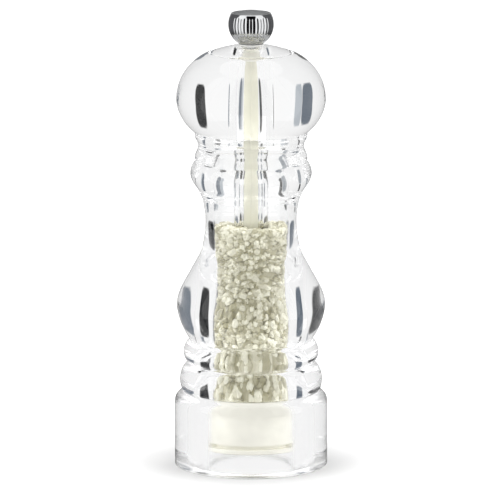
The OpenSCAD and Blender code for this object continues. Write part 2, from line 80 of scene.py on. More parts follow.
def rings(node):
    """(radius, height) of every ring of vertices on a turned node, without repeats."""
    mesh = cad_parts[node].data
    co = np.empty(len(mesh.vertices) * 3)
    mesh.vertices.foreach_get("co", co)
    co = co.reshape(-1, 3)
    pairs = np.column_stack([np.hypot(co[:, 0], co[:, 1]), co[:, 2]])
    return np.unique(np.round(pairs, 6), axis=0)


# ---------------------------------------------------------------- curves and meshes


def smooth_curve(points, steps):
    """Centripetal Catmull-Rom curve through points: on each span, cubic Hermite blending of
    the two ends with tangents worked out from the square roots of the neighbours' distances."""
    p = np.asarray(points, float)
    ext = np.vstack([2 * p[0] - p[1], p, 2 * p[-1] - p[-2]])
    gap = np.sqrt(np.linalg.norm(np.diff(ext, axis=0), axis=1)) + 1e-9
    a, b, c, d = ext[:-3], ext[1:-2], ext[2:-1], ext[3:]
    g0, g1, g2 = gap[:-2, None], gap[1:-1, None], gap[2:, None]
    start = g1 * ((b - a) / g0 - (c - a) / (g0 + g1) + (c - b) / g1)
    end = g1 * ((c - b) / g1 - (d - b) / (g1 + g2) + (d - c) / g2)
    t = (np.arange(steps) / steps)[None, :, None]
    b, c, start, end = b[:, None], c[:, None], start[:, None], end[:, None]
    curve = (
        (2 * t**3 - 3 * t**2 + 1) * b
        + (t**3 - 2 * t**2 + t) * start
        + (-2 * t**3 + 3 * t**2) * c
        + (t**3 - t**2) * end
    )
    return np.vstack([curve.reshape(-1, 2), p[-1:]])


def round_corner(before, corner, after, radius, steps=5):
    """Points of a quadratic curve that cuts a corner, from radius before it to radius after."""
    before, corner, after = (np.asarray(v, float) for v in (before, corner, after))
    a = corner + (before - corner) / np.linalg.norm(before - corner) * radius
    b = corner + (after - corner) / np.linalg.norm(after - corner) * radius
    t = np.linspace(0, 1, steps)[:, None]
    return (1 - t) ** 2 * a + 2 * t * (1 - t) * corner + t**2 * b


def rounded(points, radius, steps=5):
    """A closed outline of straight runs with each corner rounded to about radius."""
    p = np.asarray(points, float)
    parts = []
    for i, corner in enumerate(p):
        before, after = p[i - 1], p[(i + 1) % len(p)]
        room = 0.45 * min(np.linalg.norm(before - corner), np.linalg.norm(after - corner))
        parts.append(round_corner(before, corner, after, min(radius, room), steps))
    return np.vstack(parts)


def mesh_object(name, vertices, faces, finishes, smooth_angle=40, face_finish=None):
    """A mesh object at the origin from vertex and face arrays, smooth but for sharp edges."""
    mesh = bpy.data.meshes.new(name)
    mesh.from_pydata(vertices, [], faces)
    mesh.update()
    mesh.polygons.foreach_set("use_smooth", np.ones(len(mesh.polygons), bool))
    mesh.set_sharp_from_angle(angle=math.radians(smooth_angle))
    for finish in finishes:
        mesh.materials.append(finish)
    if face_finish is not None:
        mesh.polygons.foreach_set("material_index", np.asarray(face_finish, np.int32))
    piece = bpy.data.objects.new(name, mesh)
    bpy.context.scene.collection.objects.link(piece)
    return piece


def grid_faces(rows, columns, close_rows, close_columns=True):
    """Quads of a grid; its rows and its columns close round where that is set."""
    last_row = rows if close_rows else rows - 1
    last_column = columns if close_columns else columns - 1
    i, j = np.meshgrid(np.arange(last_row), np.arange(last_column), indexing="ij")
    i2, j2 = (i + 1) % rows, (j + 1) % columns
    quads = np.stack([i * columns + j, i * columns + j2, i2 * columns + j2, i2 * columns + j], -1)
    return quads.reshape(-1, 4)


def turned(name, outline, finishes, segments, angle=40, row_finish=None, ripple=None):
    """Surface of revolution of a closed outline: x = r cos a, y = r sin a, z as given.

    The outline runs up the outside and down the inside. Where its first and last points lie
    on the axis, they become single pole vertices. ripple(radius, height, angle) may return a
    changed radius. row_finish gives a finish's number for the faces after each point.
    """
    outline = np.asarray(outline, float)
    on_axis = abs(outline[0, 0]) < 1e-7 and abs(outline[-1, 0]) < 1e-7
    body = outline[1:-1] if on_axis else outline
    a = np.linspace(0, 2 * math.pi, segments, endpoint=False)[None, :]
    r = np.repeat(body[:, :1], segments, 1)
    z = np.repeat(body[:, 1:], segments, 1)
    if ripple is not None:
        r = ripple(r, z, a)
    vertices = np.stack([r * np.cos(a), r * np.sin(a), z], -1).reshape(-1, 3)
    faces = grid_faces(len(body), segments, not on_axis).tolist()
    face_finish = None
    if row_finish is not None:
        face_finish = np.repeat(np.asarray(row_finish)[: len(faces) // segments], segments)
    if on_axis:
        j = np.arange(segments)
        j2 = (j + 1) % segments
        first, last = len(vertices), len(vertices) + 1
        top = (len(body) - 1) * segments
        poles = [[0, 0, outline[0, 1]], [0, 0, outline[-1, 1]]]
        vertices = np.vstack([vertices, poles])
        faces += np.stack([j2, j, np.full(segments, first)], -1).tolist()
        faces += np.stack([top + j, top + j2, np.full(segments, last)], -1).tolist()
    return mesh_object(name, vertices.tolist(), faces, finishes, angle, face_finish)


# ---------------------------------------------------------------- shader maths


class Value:
    """One output socket of a material, on which + - and * add Math nodes."""

    def __init__(self, maker, socket):
        self.maker = maker
        self.socket = socket

    def _math(self, operation, first, second):
        return self.maker.node("ShaderNodeMath", {"operation": operation}, {0: first, 1: second})

    def __add__(self, other):
        return self._math("ADD", self, other)

    __radd__ = __add__

    def __mul__(self, other):
        return self._math("MULTIPLY", self, other)

    __rmul__ = __mul__

    def __sub__(self, other):
        return self._math("SUBTRACT", self, other)

    def __rsub__(self, other):
        return self._math("SUBTRACT", other, self)


class Finish:
    """One material and the nodes that are added to it."""

    def __init__(self, name):
        self.material = bpy.data.materials.new(name)
        self.material.use_nodes = True
        self.tree = self.material.node_tree
        self.tree.nodes.clear()

    @classmethod
    def over(cls, tree):
        """A maker for a node tree that exists already, emptied first."""
        maker = cls.__new__(cls)
        maker.material, maker.tree = None, tree
        tree.nodes.clear()
        return maker

    def node(self, kind, settings=None, inputs=None, output=0):
        """Adds a node, sets its settings and then its inputs, and returns one output."""
        made = self.tree.nodes.new(kind)
        for key, setting in (settings or {}).items():
            setattr(made, key, setting)
        for key, value in (inputs or {}).items():
            if isinstance(value, Value):
                self.tree.links.new(value.socket, made.inputs[key])
            else:
                made.inputs[key].default_value = value
        return Value(self, made.outputs[output])

    def place(self):
        """Object coordinates."""
        return self.node("ShaderNodeTexCoord", output="Object")

    def noise(self, scale, detail=3.0, roughness=0.5, place=None):
        """Noise from about 0 to 1, with scale lumps per metre."""
        where = self.place() if place is None else place
        inputs = {"Vector": where, "Scale": scale, "Detail": detail, "Roughness": roughness}
        return self.node("ShaderNodeTexNoise", {}, inputs, "Fac")

    def span(self, value, low_in, high_in, low_out, high_out):
        """value taken from one range to another, and held at the ends."""
        ends = {"Value": value, "From Min": low_in, "From Max": high_in}
        ends.update({"To Min": low_out, "To Max": high_out})
        return self.node("ShaderNodeMapRange", {"clamp": True}, ends)

    def mix(self, factor, first, second):
        """Blend of two colours, each a tuple or an output."""
        ends = [c if isinstance(c, Value) else rgb(c) for c in (first, second)]
        inputs = {0: factor, 6: ends[0], 7: ends[1]}
        return self.node("ShaderNodeMix", {"data_type": "RGBA"}, inputs, 2)

    def bump(self, height, strength, distance):
        """Normal bumped by height."""
        inputs = {"Height": height, "Strength": strength, "Distance": distance}
        return self.node("ShaderNodeBump", {}, inputs, "Normal")

    def surface(self, inputs):
        """Principled surface that ends the material, which is returned."""
        shader = self.node("ShaderNodeBsdfPrincipled", {}, inputs)
        self.close(shader)
        return self.material

    def close(self, shader, kind="ShaderNodeOutputMaterial"):
        """Joins a shader to the tree's output."""
        end = self.tree.nodes.new(kind)
        self.tree.links.new(shader.socket, end.inputs["Surface"])
        return self.material


def rgb(colour):
    """A colour as an RGBA tuple."""
    return (*tuple(colour)[:3], 1.0)


# ---------------------------------------------------------------- settings


class MillSizes(bpy.types.PropertyGroup):
    """Sizes and counts of the modelled pieces."""

    segments: IntProperty(
        name="Segments", description="Columns round each clear piece", default=180, min=48
    )
    bore_round: FloatProperty(
        name="Bore rounding", description="Rounding of the edges of the clear pieces' bores",
        default=0.35 * MM, unit="LENGTH",
    )
    crystal: FloatProperty(
        name="Crystal size", description="Mean radius of a salt crystal",
        default=1.05 * MM, unit="LENGTH",
    )
    crystal_count: IntProperty(
        name="Crystals", description="Number of crystals against the wall and on top",
        default=5000, min=100,
    )
    crease: FloatProperty(
        name="Crease", description="Extra depth at the bottom of the groove in the crown",
        default=0.4 * MM, unit="LENGTH",
    )
    ribs: IntProperty(name="Knob ribs", description="Ribs round the knob", default=34, min=12)
    ball_centre: FloatProperty(
        name="Ball centre", description="Height of the knob's centre above its foot",
        default=7.5 * MM, unit="LENGTH",
    )
    dome: FloatProperty(
        name="Dome", description="How far the satin disc's middle stands above the packed disc",
        default=0.4 * MM, unit="LENGTH",
    )
    rib_depth: FloatProperty(
        name="Rib depth", description="Depth of the flutes between the knob's ribs",
        default=0.15 * MM, unit="LENGTH",
    )
    shaft_round: FloatProperty(
        name="Shaft rounding", description="Rounding of the square shaft's corners",
        default=0.35 * MM, unit="LENGTH",
    )


class MillColours(bpy.types.PropertyGroup):
    """Colours of the finishes, as linear values."""

    clear: FloatVectorProperty(
        name="Clear", description="Tint of the clear plastic", subtype="COLOR",
        default=(0.996, 0.998, 0.998),
    )
    cream: FloatVectorProperty(
        name="Cream", description="Moulded cartridge", subtype="COLOR",
        default=(0.88, 0.865, 0.78),
    )
    shaft: FloatVectorProperty(
        name="Shaft", description="Moulded shaft", subtype="COLOR", default=(0.80, 0.785, 0.65),
    )
    salt_pale: FloatVectorProperty(
        name="Pale salt", description="Crystals that catch the light", subtype="COLOR",
        default=(0.86, 0.845, 0.71),
    # Painted shade for the salt: the core in the gaps between crystals takes this colour, and each
    # crystal a random share of it.
    )
    salt_shade: FloatVectorProperty(
        name="Deep salt", description="Crystals between the pale ones", subtype="COLOR",
        default=(0.39, 0.365, 0.23),
    )
    chrome: FloatVectorProperty(
        name="Chrome", description="Plated knob", subtype="COLOR", default=(0.86, 0.87, 0.88),
    )
    satin: FloatVectorProperty(
        name="Satin disc", description="Disc in the knob's top", subtype="COLOR",
        default=(0.55, 0.56, 0.57),
    )


class MillStudio(bpy.types.PropertyGroup):
    """Camera, lamps and cards."""

    distance: FloatProperty(
        name="Camera distance", description="From the mill's axis", default=2.5, unit="LENGTH"
    )
    elevation: FloatProperty(
        name="Elevation", description="Camera's angle above the table",
        default=math.radians(10.5), subtype="ANGLE",
    )
    view_height: FloatProperty(
        name="View height", description="Height that the view takes in at the axis",
        default=0.196, unit="LENGTH",
    )
    aim_height: FloatProperty(
        name="Aim height", description="Height of the point that the camera looks at",
        default=0.0854, unit="LENGTH",
    )
    sky: FloatProperty(name="Sky", description="Strength of the surrounding light", default=0.8)
    through: FloatProperty(
        name="Seen through", description="Strength of the backdrop through clear pieces",
        default=0.955,
    )
    table_lift: FloatProperty(
        name="Table lift", description="Light added to the far table in the camera's view",
        default=0.6,
    )
    mirror: FloatProperty(
        name="Mirrored", description="Strength of the surroundings in plated pieces",
        default=0.3,
    )
    lamp: FloatProperty(
        name="Lamp", description="Power of each soft lamp", default=4.8, subtype="POWER"
    )


# ---------------------------------------------------------------- finishes


def clear_plastic(colour):
    """Polished clear plastic, with faint uneven polish."""
    f = Finish("clear_plastic")
    polish = f.span(f.noise(220, 2), 0.35, 0.7, 0.0, 0.02)
    return f.surface({
        "Base Color": rgb(colour), "Roughness": polish, "IOR": 1.49, "Transmission Weight": 1.0,
    })


def bored_plastic(colour):
    """Clear plastic left slightly matt by the boring tool, with fine rings up the bore."""
    f = Finish("bored_plastic")
    rings_up = f.node("ShaderNodeTexWave", {"wave_type": "BANDS", "bands_direction": "Z"},
                      {"Vector": f.place(), "Scale": 450.0, "Distortion": 1.5}, "Fac")
    haze = f.span(rings_up, 0.0, 1.0, 0.16, 0.24)
    return f.surface({
        "Base Color": rgb(colour), "Roughness": haze, "IOR": 1.49, "Transmission Weight": 1.0,
    })


def moulded_plastic(name, colour, shade=0.9, rough=0.42):
    """Satin moulded plastic: slow mottling of the colour and a fine moulded grain."""
    f = Finish(name)
    mottle = f.span(f.noise(160, 4), 0.3, 0.75, 0.0, 1.0)
    dark = tuple(shade * c for c in tuple(colour)[:3])
    tint = f.mix(mottle, dark, tuple(colour)[:3])
    grain = f.noise(5200, 3)
    polish = f.span(f.noise(700, 3), 0.3, 0.7, rough - 0.06, rough + 0.08)
    return f.surface({
        "Base Color": tint, "Roughness": polish, "IOR": 1.5,
        "Normal": f.bump(grain, 0.25, 0.04 * MM),
    })


def salt_crystal(pale, shade_colour):
    """Coarse salt: each crystal has its own random tone between the pale colour and the shade
    colour, which is painted shade, with clouding and small pits inside it.
    """
    f = Finish("salt_crystal")
    tone = f.node("ShaderNodeAttribute", {"attribute_name": "tone"}, {}, "Fac")
    cloud = f.noise(900, 4, 0.6)
    blend = f.span(tone * 0.75 + cloud * 0.5, 0.25, 0.95, 0.0, 1.0)
    # Painted shade: a low tone brings a crystal near the shade colour.
    tint = f.mix(blend, tuple(shade_colour), tuple(pale))
    pits = f.noise(2600, 4, 0.65)
    polish = f.span(cloud, 0.35, 0.65, 0.3, 0.6)
    return f.surface({
        "Base Color": tint, "Roughness": polish, "IOR": 1.54,
        "Normal": f.bump(pits, 0.55, 0.18 * MM),
    })


def plated(name, colour, rough, foot, shoulder):
    """Mirror plating with a faint orange peel and hand marks in its polish. From the height
    shoulder down to the height foot its colour falls to half: a painted darker reflection on the
    lower part of the knob."""
    f = Finish(name)
    height = f.node("ShaderNodeSeparateXYZ", {}, {"Vector": f.place()}, "Z")
    painted_dark_reflection = tuple(0.5 * c for c in tuple(colour)[:3])
    # Painted reflection: the colour darkens to half towards the foot, for the darker things that
    # the lower knob mirrors.
    tint = f.mix(f.span(height, foot, shoulder, 0.0, 1.0), painted_dark_reflection, tuple(colour)[:3])
    marks = f.span(f.noise(900, 4), 0.4, 0.75, rough, rough + 0.08)
    peel = f.noise(1400, 2)
    return f.surface({
        "Base Color": tint, "Metallic": 1.0, "Roughness": marks,
        "Normal": f.bump(peel, 0.08, 0.03 * MM),
    })


def spun_metal(name, colour, rough, ring_scale=866.67):
    """Turned or brushed metal: fine rings round the axis in its polish and its surface."""
    f = Finish(name)
    turning = f.node("ShaderNodeTexWave", {"wave_type": "RINGS", "rings_direction": "Z"},
                     {"Vector": f.place(), "Scale": ring_scale, "Distortion": 0.6,
                      "Detail": 2.0}, "Fac")
    stain = f.span(f.noise(420, 4), 0.35, 0.7, 0.88, 1.0)
    tint = f.mix(stain, tuple(0.8 * c for c in tuple(colour)[:3]), tuple(colour)[:3])
    polish = f.span(turning, 0.0, 1.0, rough - 0.05, rough + 0.07)
    return f.surface({
        "Base Color": tint, "Metallic": 1.0, "Roughness": polish,
        "Normal": f.bump(turning, 0.12, 0.02 * MM),
    })


FINISHES = {}


def make_finishes(colours):
    """Makes every material once, by name."""
    FINISHES.update({
        "clear": clear_plastic(colours.clear),
        "bored": bored_plastic(colours.clear),
        "cream": moulded_plastic("cream_plastic", colours.cream),
        "shaft": moulded_plastic("shaft_plastic", colours.shaft, 0.86, 0.38),
        "washer": moulded_plastic("washer_plastic", (0.84, 0.84, 0.82), 0.94, 0.3),
        "salt": salt_crystal(colours.salt_pale, colours.salt_shade),
        # The chrome is painted darker, as a reflection, from 6 mm down to 4 mm above the knob's
        # foot.
        "chrome": plated("chrome_plating", colours.chrome, 0.04,
                         low("knob")[2] + 4 * MM, low("knob")[2] + 6 * MM),
        "satin": spun_metal("satin_disc", colours.satin, 0.42),
        "grinding": spun_metal("grinding_steel", (0.5, 0.51, 0.52), 0.36),
        "zinc": spun_metal("zinc_plating", (0.62, 0.64, 0.66), 0.3),
        "brass": spun_metal("turned_brass", (0.72, 0.5, 0.2), 0.28),
    })


# ---------------------------------------------------------------- outlines of the clear pieces


def outside(node, inner_radius, crown_height=None):
    """The node's outer outline from the frame, from its foot up. Rings no wider than
    inner_radius belong to its bores, except those above crown_height, which are its crown.
    Each point is followed by the nearest one that isn't in the outline yet."""
    points = rings(node)
    keep = points[:, 0] > inner_radius
    if crown_height is not None:
        keep |= points[:, 1] > crown_height
    points = points[keep]
    left = points[np.lexsort((-points[:, 0], points[:, 1]))]
    order = [left[0]]
    left = left[1:]
    while len(left):
        nearest = np.argmin(np.linalg.norm(left - order[-1], axis=1))
        order.append(left[nearest])
        left = np.delete(left, nearest, axis=0)
    return np.array(order)


def spread(points, gap):
    """Drops points that lie nearer than gap to the one before."""
    kept = [points[0]]
    for p in points[1:]:
        if np.linalg.norm(p - kept[-1]) > gap:
            kept.append(p)
    return np.array(kept)


def deeper_crease(curve, extra):
    """Sinks the bottom of the groove in the crown by extra, fading to nothing at its edges.
    The groove is the first dip of the outline in the crown, inward from the widest part."""
    crown, half_width = 12 * MM, 0.45 * MM
    r, z = curve[:, 0], curve[:, 1]
    dips = np.flatnonzero((z[1:-1] < z[:-2]) & (z[1:-1] <= z[2:]) & (r[1:-1] < 0.8 * r.max())) + 1
    dips = dips[z[dips] > z.max() - crown]
    if len(dips):
        nearness = np.clip(1 - np.abs(r - r[dips[0]]) / half_width, 0, 1)
        z = z - extra * nearness * (z > z.max() - crown)
    return np.column_stack([r, z])


# ---------------------------------------------------------------- operators


class MILL_OT_finishes(bpy.types.Operator):
    """Make the mill's materials"""

    bl_idname = "mill.finishes"
    bl_label = "Finishes"

    def execute(self, context):
        make_finishes(context.scene.mill_colours)
        return {"FINISHED"}


class MILL_OT_body(bpy.types.Operator):
    """Turn the clear body, with its reservoir and the recess for the cartridge"""

    bl_idname = "mill.body"
    bl_label = "Clear body"

    def execute(self, context):
        sizes = context.scene.mill_sizes
        recess_r = high("mechanism_housing")[0] + 0.1 * MM
        recess_z = high("mechanism_housing")[2]
        reservoir_r = high("salt_charge")[0] + 0.25 * MM
        mouth_z = high("body_shell")[2]
        base_r = high("body_shell")[0]
        foot_bevel = 0.3 * MM
        wall = spread(outside("body_shell", recess_r + 0.2 * MM), POINT_GAP)
        curve = smooth_curve(wall, 3)
        curve[:, 0] = np.minimum(curve[:, 0], base_r)
        bores = rounded(
            [[reservoir_r, mouth_z], [reservoir_r, recess_z], [recess_r, recess_z],
             [recess_r, 0.0]],
            sizes.bore_round,
        )
        # The points past the ends of the two bores are left out: a bevel stands there instead.
        inner = np.vstack([[reservoir_r + sizes.bore_round, mouth_z], bores[3:-3],
                           [recess_r, foot_bevel], [recess_r + foot_bevel, 0.0]])
        outline = np.vstack([curve, inner])
        in_recess = (outline[:, 0] < recess_r + 0.4 * MM) & (outline[:, 1] < recess_z + 1e-5)
        in_recess &= np.arange(len(outline)) >= len(curve)
        piece = turned(
            "clear_body", outline, [FINISHES["clear"], FINISHES["bored"]],
            sizes.segments, SHARP_ANGLE, in_recess.astype(int),
        )
        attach(piece, "body")
        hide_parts("body_shell")
        return {"FINISHED"}


class MILL_OT_head(bpy.types.Operator):
    """Turn the clear ball head, with its cavity and spigot"""

    bl_idname = "mill.head"
    bl_label = "Clear head"

    def execute(self, context):
        sizes = context.scene.mill_sizes
        points = rings("head_shell")
        foot_z = points[:, 1].min()
        seat_z = points[:, 1].max()
        at_foot = points[np.isclose(points[:, 1], foot_z)][:, 0]
        bore_r = at_foot.min()
        spigot_r = points[np.isclose(points[:, 1], foot_z, atol=0.5 * MM)][:, 0].max()
        bore_z = high("head_drive_insert")[2] + 0.1 * MM
        hole_r = points[:, 0].min()
        wall = outside("head_shell", spigot_r + 0.3 * MM, bore_z + 0.3 * MM)
        wall = wall[wall[:, 0] > hole_r + 0.5 * MM]
        curve = deeper_crease(smooth_curve(spread(wall, POINT_GAP), 3), sizes.crease)
        inner = rounded(
            [[hole_r, seat_z], [hole_r, bore_z], [bore_r, bore_z],
             [bore_r, foot_z], [spigot_r, foot_z], [spigot_r, curve[0, 1]]],
            sizes.bore_round,
        )[3:-2]
        outline = np.vstack([curve, inner])
        piece = turned("clear_head", outline, [FINISHES["clear"]], sizes.segments, SHARP_ANGLE)
        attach(piece, "head")
        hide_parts("head_shell")
        return {"FINISHED"}


class MILL_OT_tube(bpy.types.Operator):
    """Draw the clear tube that stands round the shaft"""

    bl_idname = "mill.tube"
    bl_label = "Clear tube"

    def execute(self, context):
        sizes = context.scene.mill_sizes
        points = rings("shaft_tube")
        r_out, r_in = points[:, 0].max(), points[:, 0].min()
        z0, z1 = points[:, 1].min(), points[:, 1].max()
        edge = 0.25 * MM
        outline = rounded([[r_out, z0], [r_out, z1], [r_in, z1], [r_in, z0]], edge)
        piece = turned("clear_tube", outline, [FINISHES["clear"]], sizes.segments, SHARP_ANGLE)
        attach(piece, "shaft")
        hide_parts("shaft_tube")
        return {"FINISHED"}


def rounded_square(side, radius, per_corner=6):
    """Outline of a square with its corners on the axes: each corner is an arc of radius."""
    half = side / 2 - radius
    parts = []
    for k in range(4):
        a = math.radians(45 + 90 * k) + np.linspace(-math.pi / 4, math.pi / 4, per_corner)
        centre = half * np.array([[1, 1], [-1, 1], [-1, -1], [1, -1]])[k]
        parts.append(centre + radius * np.column_stack([np.cos(a), np.sin(a)]))
    flat = np.vstack(parts)
    c = math.sqrt(0.5)
    return flat @ np.array([[c, c], [-c, c]])


class MILL_OT_shaft(bpy.types.Operator):
    """Mould the square shaft, with rounded corners and bevelled ends"""

    bl_idname = "mill.shaft"
    bl_label = "Square shaft"

    def execute(self, context):
        sizes = context.scene.mill_sizes
        z0, z1 = low("shaft")[2], high("shaft")[2]
        side = (high("shaft")[0] - low("shaft")[0]) / math.sqrt(2)
        screw_bore, screw_depth = 1.5 * MM, 9 * MM
        stud_bore, stud_depth = high("shaft_stud")[0] - 0.3 * MM, 5.5 * MM
        points = 24
        heights = np.array([z0, z0 + 0.3 * MM, z1 - 0.4 * MM, z1])
        insets = np.array([0.25, 0.0, 0.0, 0.35]) * MM
        loops = [
            np.column_stack([rounded_square(side - 2 * d, sizes.shaft_round), np.full(points, z)])
            for z, d in zip(heights, insets)
        ]
        a = np.linspace(0, 2 * math.pi, points, endpoint=False) + math.radians(45)
        bores = ((z1, stud_bore), (z1 - stud_depth, stud_bore),
                 (z0 + screw_depth, screw_bore), (z0, screw_bore))
        for z, r in bores:
            loops.append(np.column_stack([r * np.cos(a), r * np.sin(a), np.full(points, z)]))
        vertices = np.vstack(loops)
        faces = grid_faces(len(loops), points, True)
        piece = mesh_object("square_shaft", vertices.tolist(), faces.tolist(),
                            [FINISHES["shaft"]], 40)
        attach(piece, "shaft")
        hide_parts("shaft")
        return {"FINISHED"}


def crystal_shapes(kinds, rng):
    """Irregular crystals: the twelve corners of an icosahedron, each pushed in or out and
    squared towards a cube by a power of its coordinates. Returns (kinds, 12, 3) and faces."""
    t = (1 + math.sqrt(5)) / 2
    corners = np.array([
        [-1, t, 0], [1, t, 0], [-1, -t, 0], [1, -t, 0], [0, -1, t], [0, 1, t],
        [0, -1, -t], [0, 1, -t], [t, 0, -1], [t, 0, 1], [-t, 0, -1], [-t, 0, 1]], float)
    corners /= np.linalg.norm(corners, axis=1, keepdims=True)
    faces = np.array([
        [0, 11, 5], [0, 5, 1], [0, 1, 7], [0, 7, 10], [0, 10, 11], [1, 5, 9], [5, 11, 4],
        [11, 10, 2], [10, 7, 6], [7, 1, 8], [3, 9, 4], [3, 4, 2], [3, 2, 6], [3, 6, 8],
        [3, 8, 9], [4, 9, 5], [2, 4, 11], [6, 2, 10], [8, 6, 7], [9, 8, 1]])
    shapes = np.repeat(corners[None], kinds, 0)
    shapes = shapes * rng.uniform(0.72, 1.2, (kinds, 12, 1))
    shapes = np.sign(shapes) * np.abs(shapes) ** 0.8
    return shapes * rng.uniform(0.75, 1.25, (kinds, 1, 3)), faces


def random_turns(count, rng):
    """Random rotation matrices from unit quaternions."""
    q = rng.normal(size=(count, 4))
    q /= np.linalg.norm(q, axis=1, keepdims=True)
    w, x, y, z = q.T
    return np.stack([
        1 - 2 * (y * y + z * z), 2 * (x * y - w * z), 2 * (x * z + w * y),
        2 * (x * y + w * z), 1 - 2 * (x * x + z * z), 2 * (y * z - w * x),
        2 * (x * z - w * y), 2 * (y * z + w * x), 1 - 2 * (x * x + y * y)], -1).reshape(-1, 3, 3)


def set_tone(piece, tones):
    """Stores one tone, from 0 to 1, on each vertex, which the salt's finish reads."""
    layer = piece.data.attributes.new("tone", "FLOAT", "POINT")
    layer.data.foreach_set("value", np.asarray(tones, np.float32))


class MILL_OT_salt(bpy.types.Operator):
    """Fill the reservoir with coarse salt: crystals at the wall and on top, over a rough core"""

    bl_idname = "mill.salt"
    bl_label = "Salt"

    def execute(self, context):
        sizes = context.scene.mill_sizes
        rng = np.random.default_rng(7)
        z0, z1 = low("salt_charge")[2], high("salt_charge")[2]
        r_out = high("salt_charge")[0]
        r_in = high("shaft_tube")[0] + 0.3 * MM
        count, kinds, corners = sizes.crystal_count, 24, 12
        centres, size = self.places(sizes, rng, z0, z1, r_in, r_out)
        shapes, faces = crystal_shapes(kinds, rng)
        local = shapes[rng.integers(0, kinds, count)] * size[:, None, None]
        local = np.einsum("nij,nkj->nki", random_turns(count, rng), local)
        vertices = local + centres[:, None]
        r = np.hypot(vertices[..., 0], vertices[..., 1])
        hold = np.clip(r, r_in, r_out) / np.maximum(r, 1e-9)
        vertices[..., 0] *= hold
        vertices[..., 1] *= hold
        vertices[..., 2] = np.clip(vertices[..., 2], z0 + 0.02 * MM, z1 + 1.2 * MM)
        all_faces = (faces[None] + corners * np.arange(count)[:, None, None]).reshape(-1, 3)
        piece = mesh_object("salt_crystals", vertices.reshape(-1, 3).tolist(),
                            all_faces.tolist(), [FINISHES["salt"]], 25)
        set_tone(piece, np.repeat(rng.uniform(0, 1, count), corners))
        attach(piece, "body")
        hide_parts("salt_charge")
        core = self.core(z0, z1, r_in, r_out)
        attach(core, "body")
        return {"FINISHED"}

    def places(self, sizes, rng, z0, z1, r_in, r_out):
        """Centres and sizes of the crystals. One in seven lies on top, spread evenly over the
        ring and slumped by two waves round it; the others stand in a layer at the wall."""
        count = sizes.crystal_count
        least, most = 0.45 * MM, 1.9 * MM
        layer, top_sink, foot_gap = 1.8, 1.4 * MM, 0.6 * MM
        size = np.clip(sizes.crystal * rng.lognormal(0.0, 0.28, count), least, most)
        on_top = np.arange(count) < count // 7
        angle = rng.uniform(0, 2 * math.pi, count)
        reach = np.sqrt(rng.uniform((r_in / r_out) ** 2, 1, count)) * r_out
        at_wall = r_out - rng.uniform(0.0, layer, count) * MM - size * 0.6
        radius = np.clip(np.where(on_top, reach, at_wall), r_in + size * 0.9, r_out - size * 0.95)
        slump = 0.6 * MM * np.sin(angle * 2 + 0.8) + 0.5 * MM * np.sin(angle * 3)
        top = z1 - top_sink + slump + rng.uniform(-0.8, 0.5, count) * MM
        height = np.where(on_top, top, rng.uniform(z0 + foot_gap, z1 - 1.2 * MM, count))
        return np.stack([radius * np.cos(angle), radius * np.sin(angle), height], -1), size

    def core(self, z0, z1, r_in, r_out):
        """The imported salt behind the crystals: a ring whose wall wanders in and out as a sum
        of sines of angle and height."""
        rows, depth, swing = 60, 1.5 * MM, 0.2 * MM
        heights = np.linspace(z0 + 0.05 * MM, z1 - 1.2 * MM, rows)
        outer = np.column_stack([np.full(rows, r_out - depth), heights])
        inner = np.column_stack([np.full(rows, r_in), heights[::-1]])

        def wander(r, z, a):
            wave = np.sin(9 * a + 900 * z) + np.sin(14 * a - 1300 * z) + np.sin(23 * a + 2100 * z)
            return np.where(r > r_in + 1 * MM, r + swing * wave, r)

        piece = turned("salt_core", np.vstack([outer, inner]), [FINISHES["salt"]], 96, 40,
                       None, wander)
        # A low tone, near the shade colour: painted shade in the gaps between the crystals.
        set_tone(piece, np.full(len(piece.data.vertices), 0.1))
        return piece


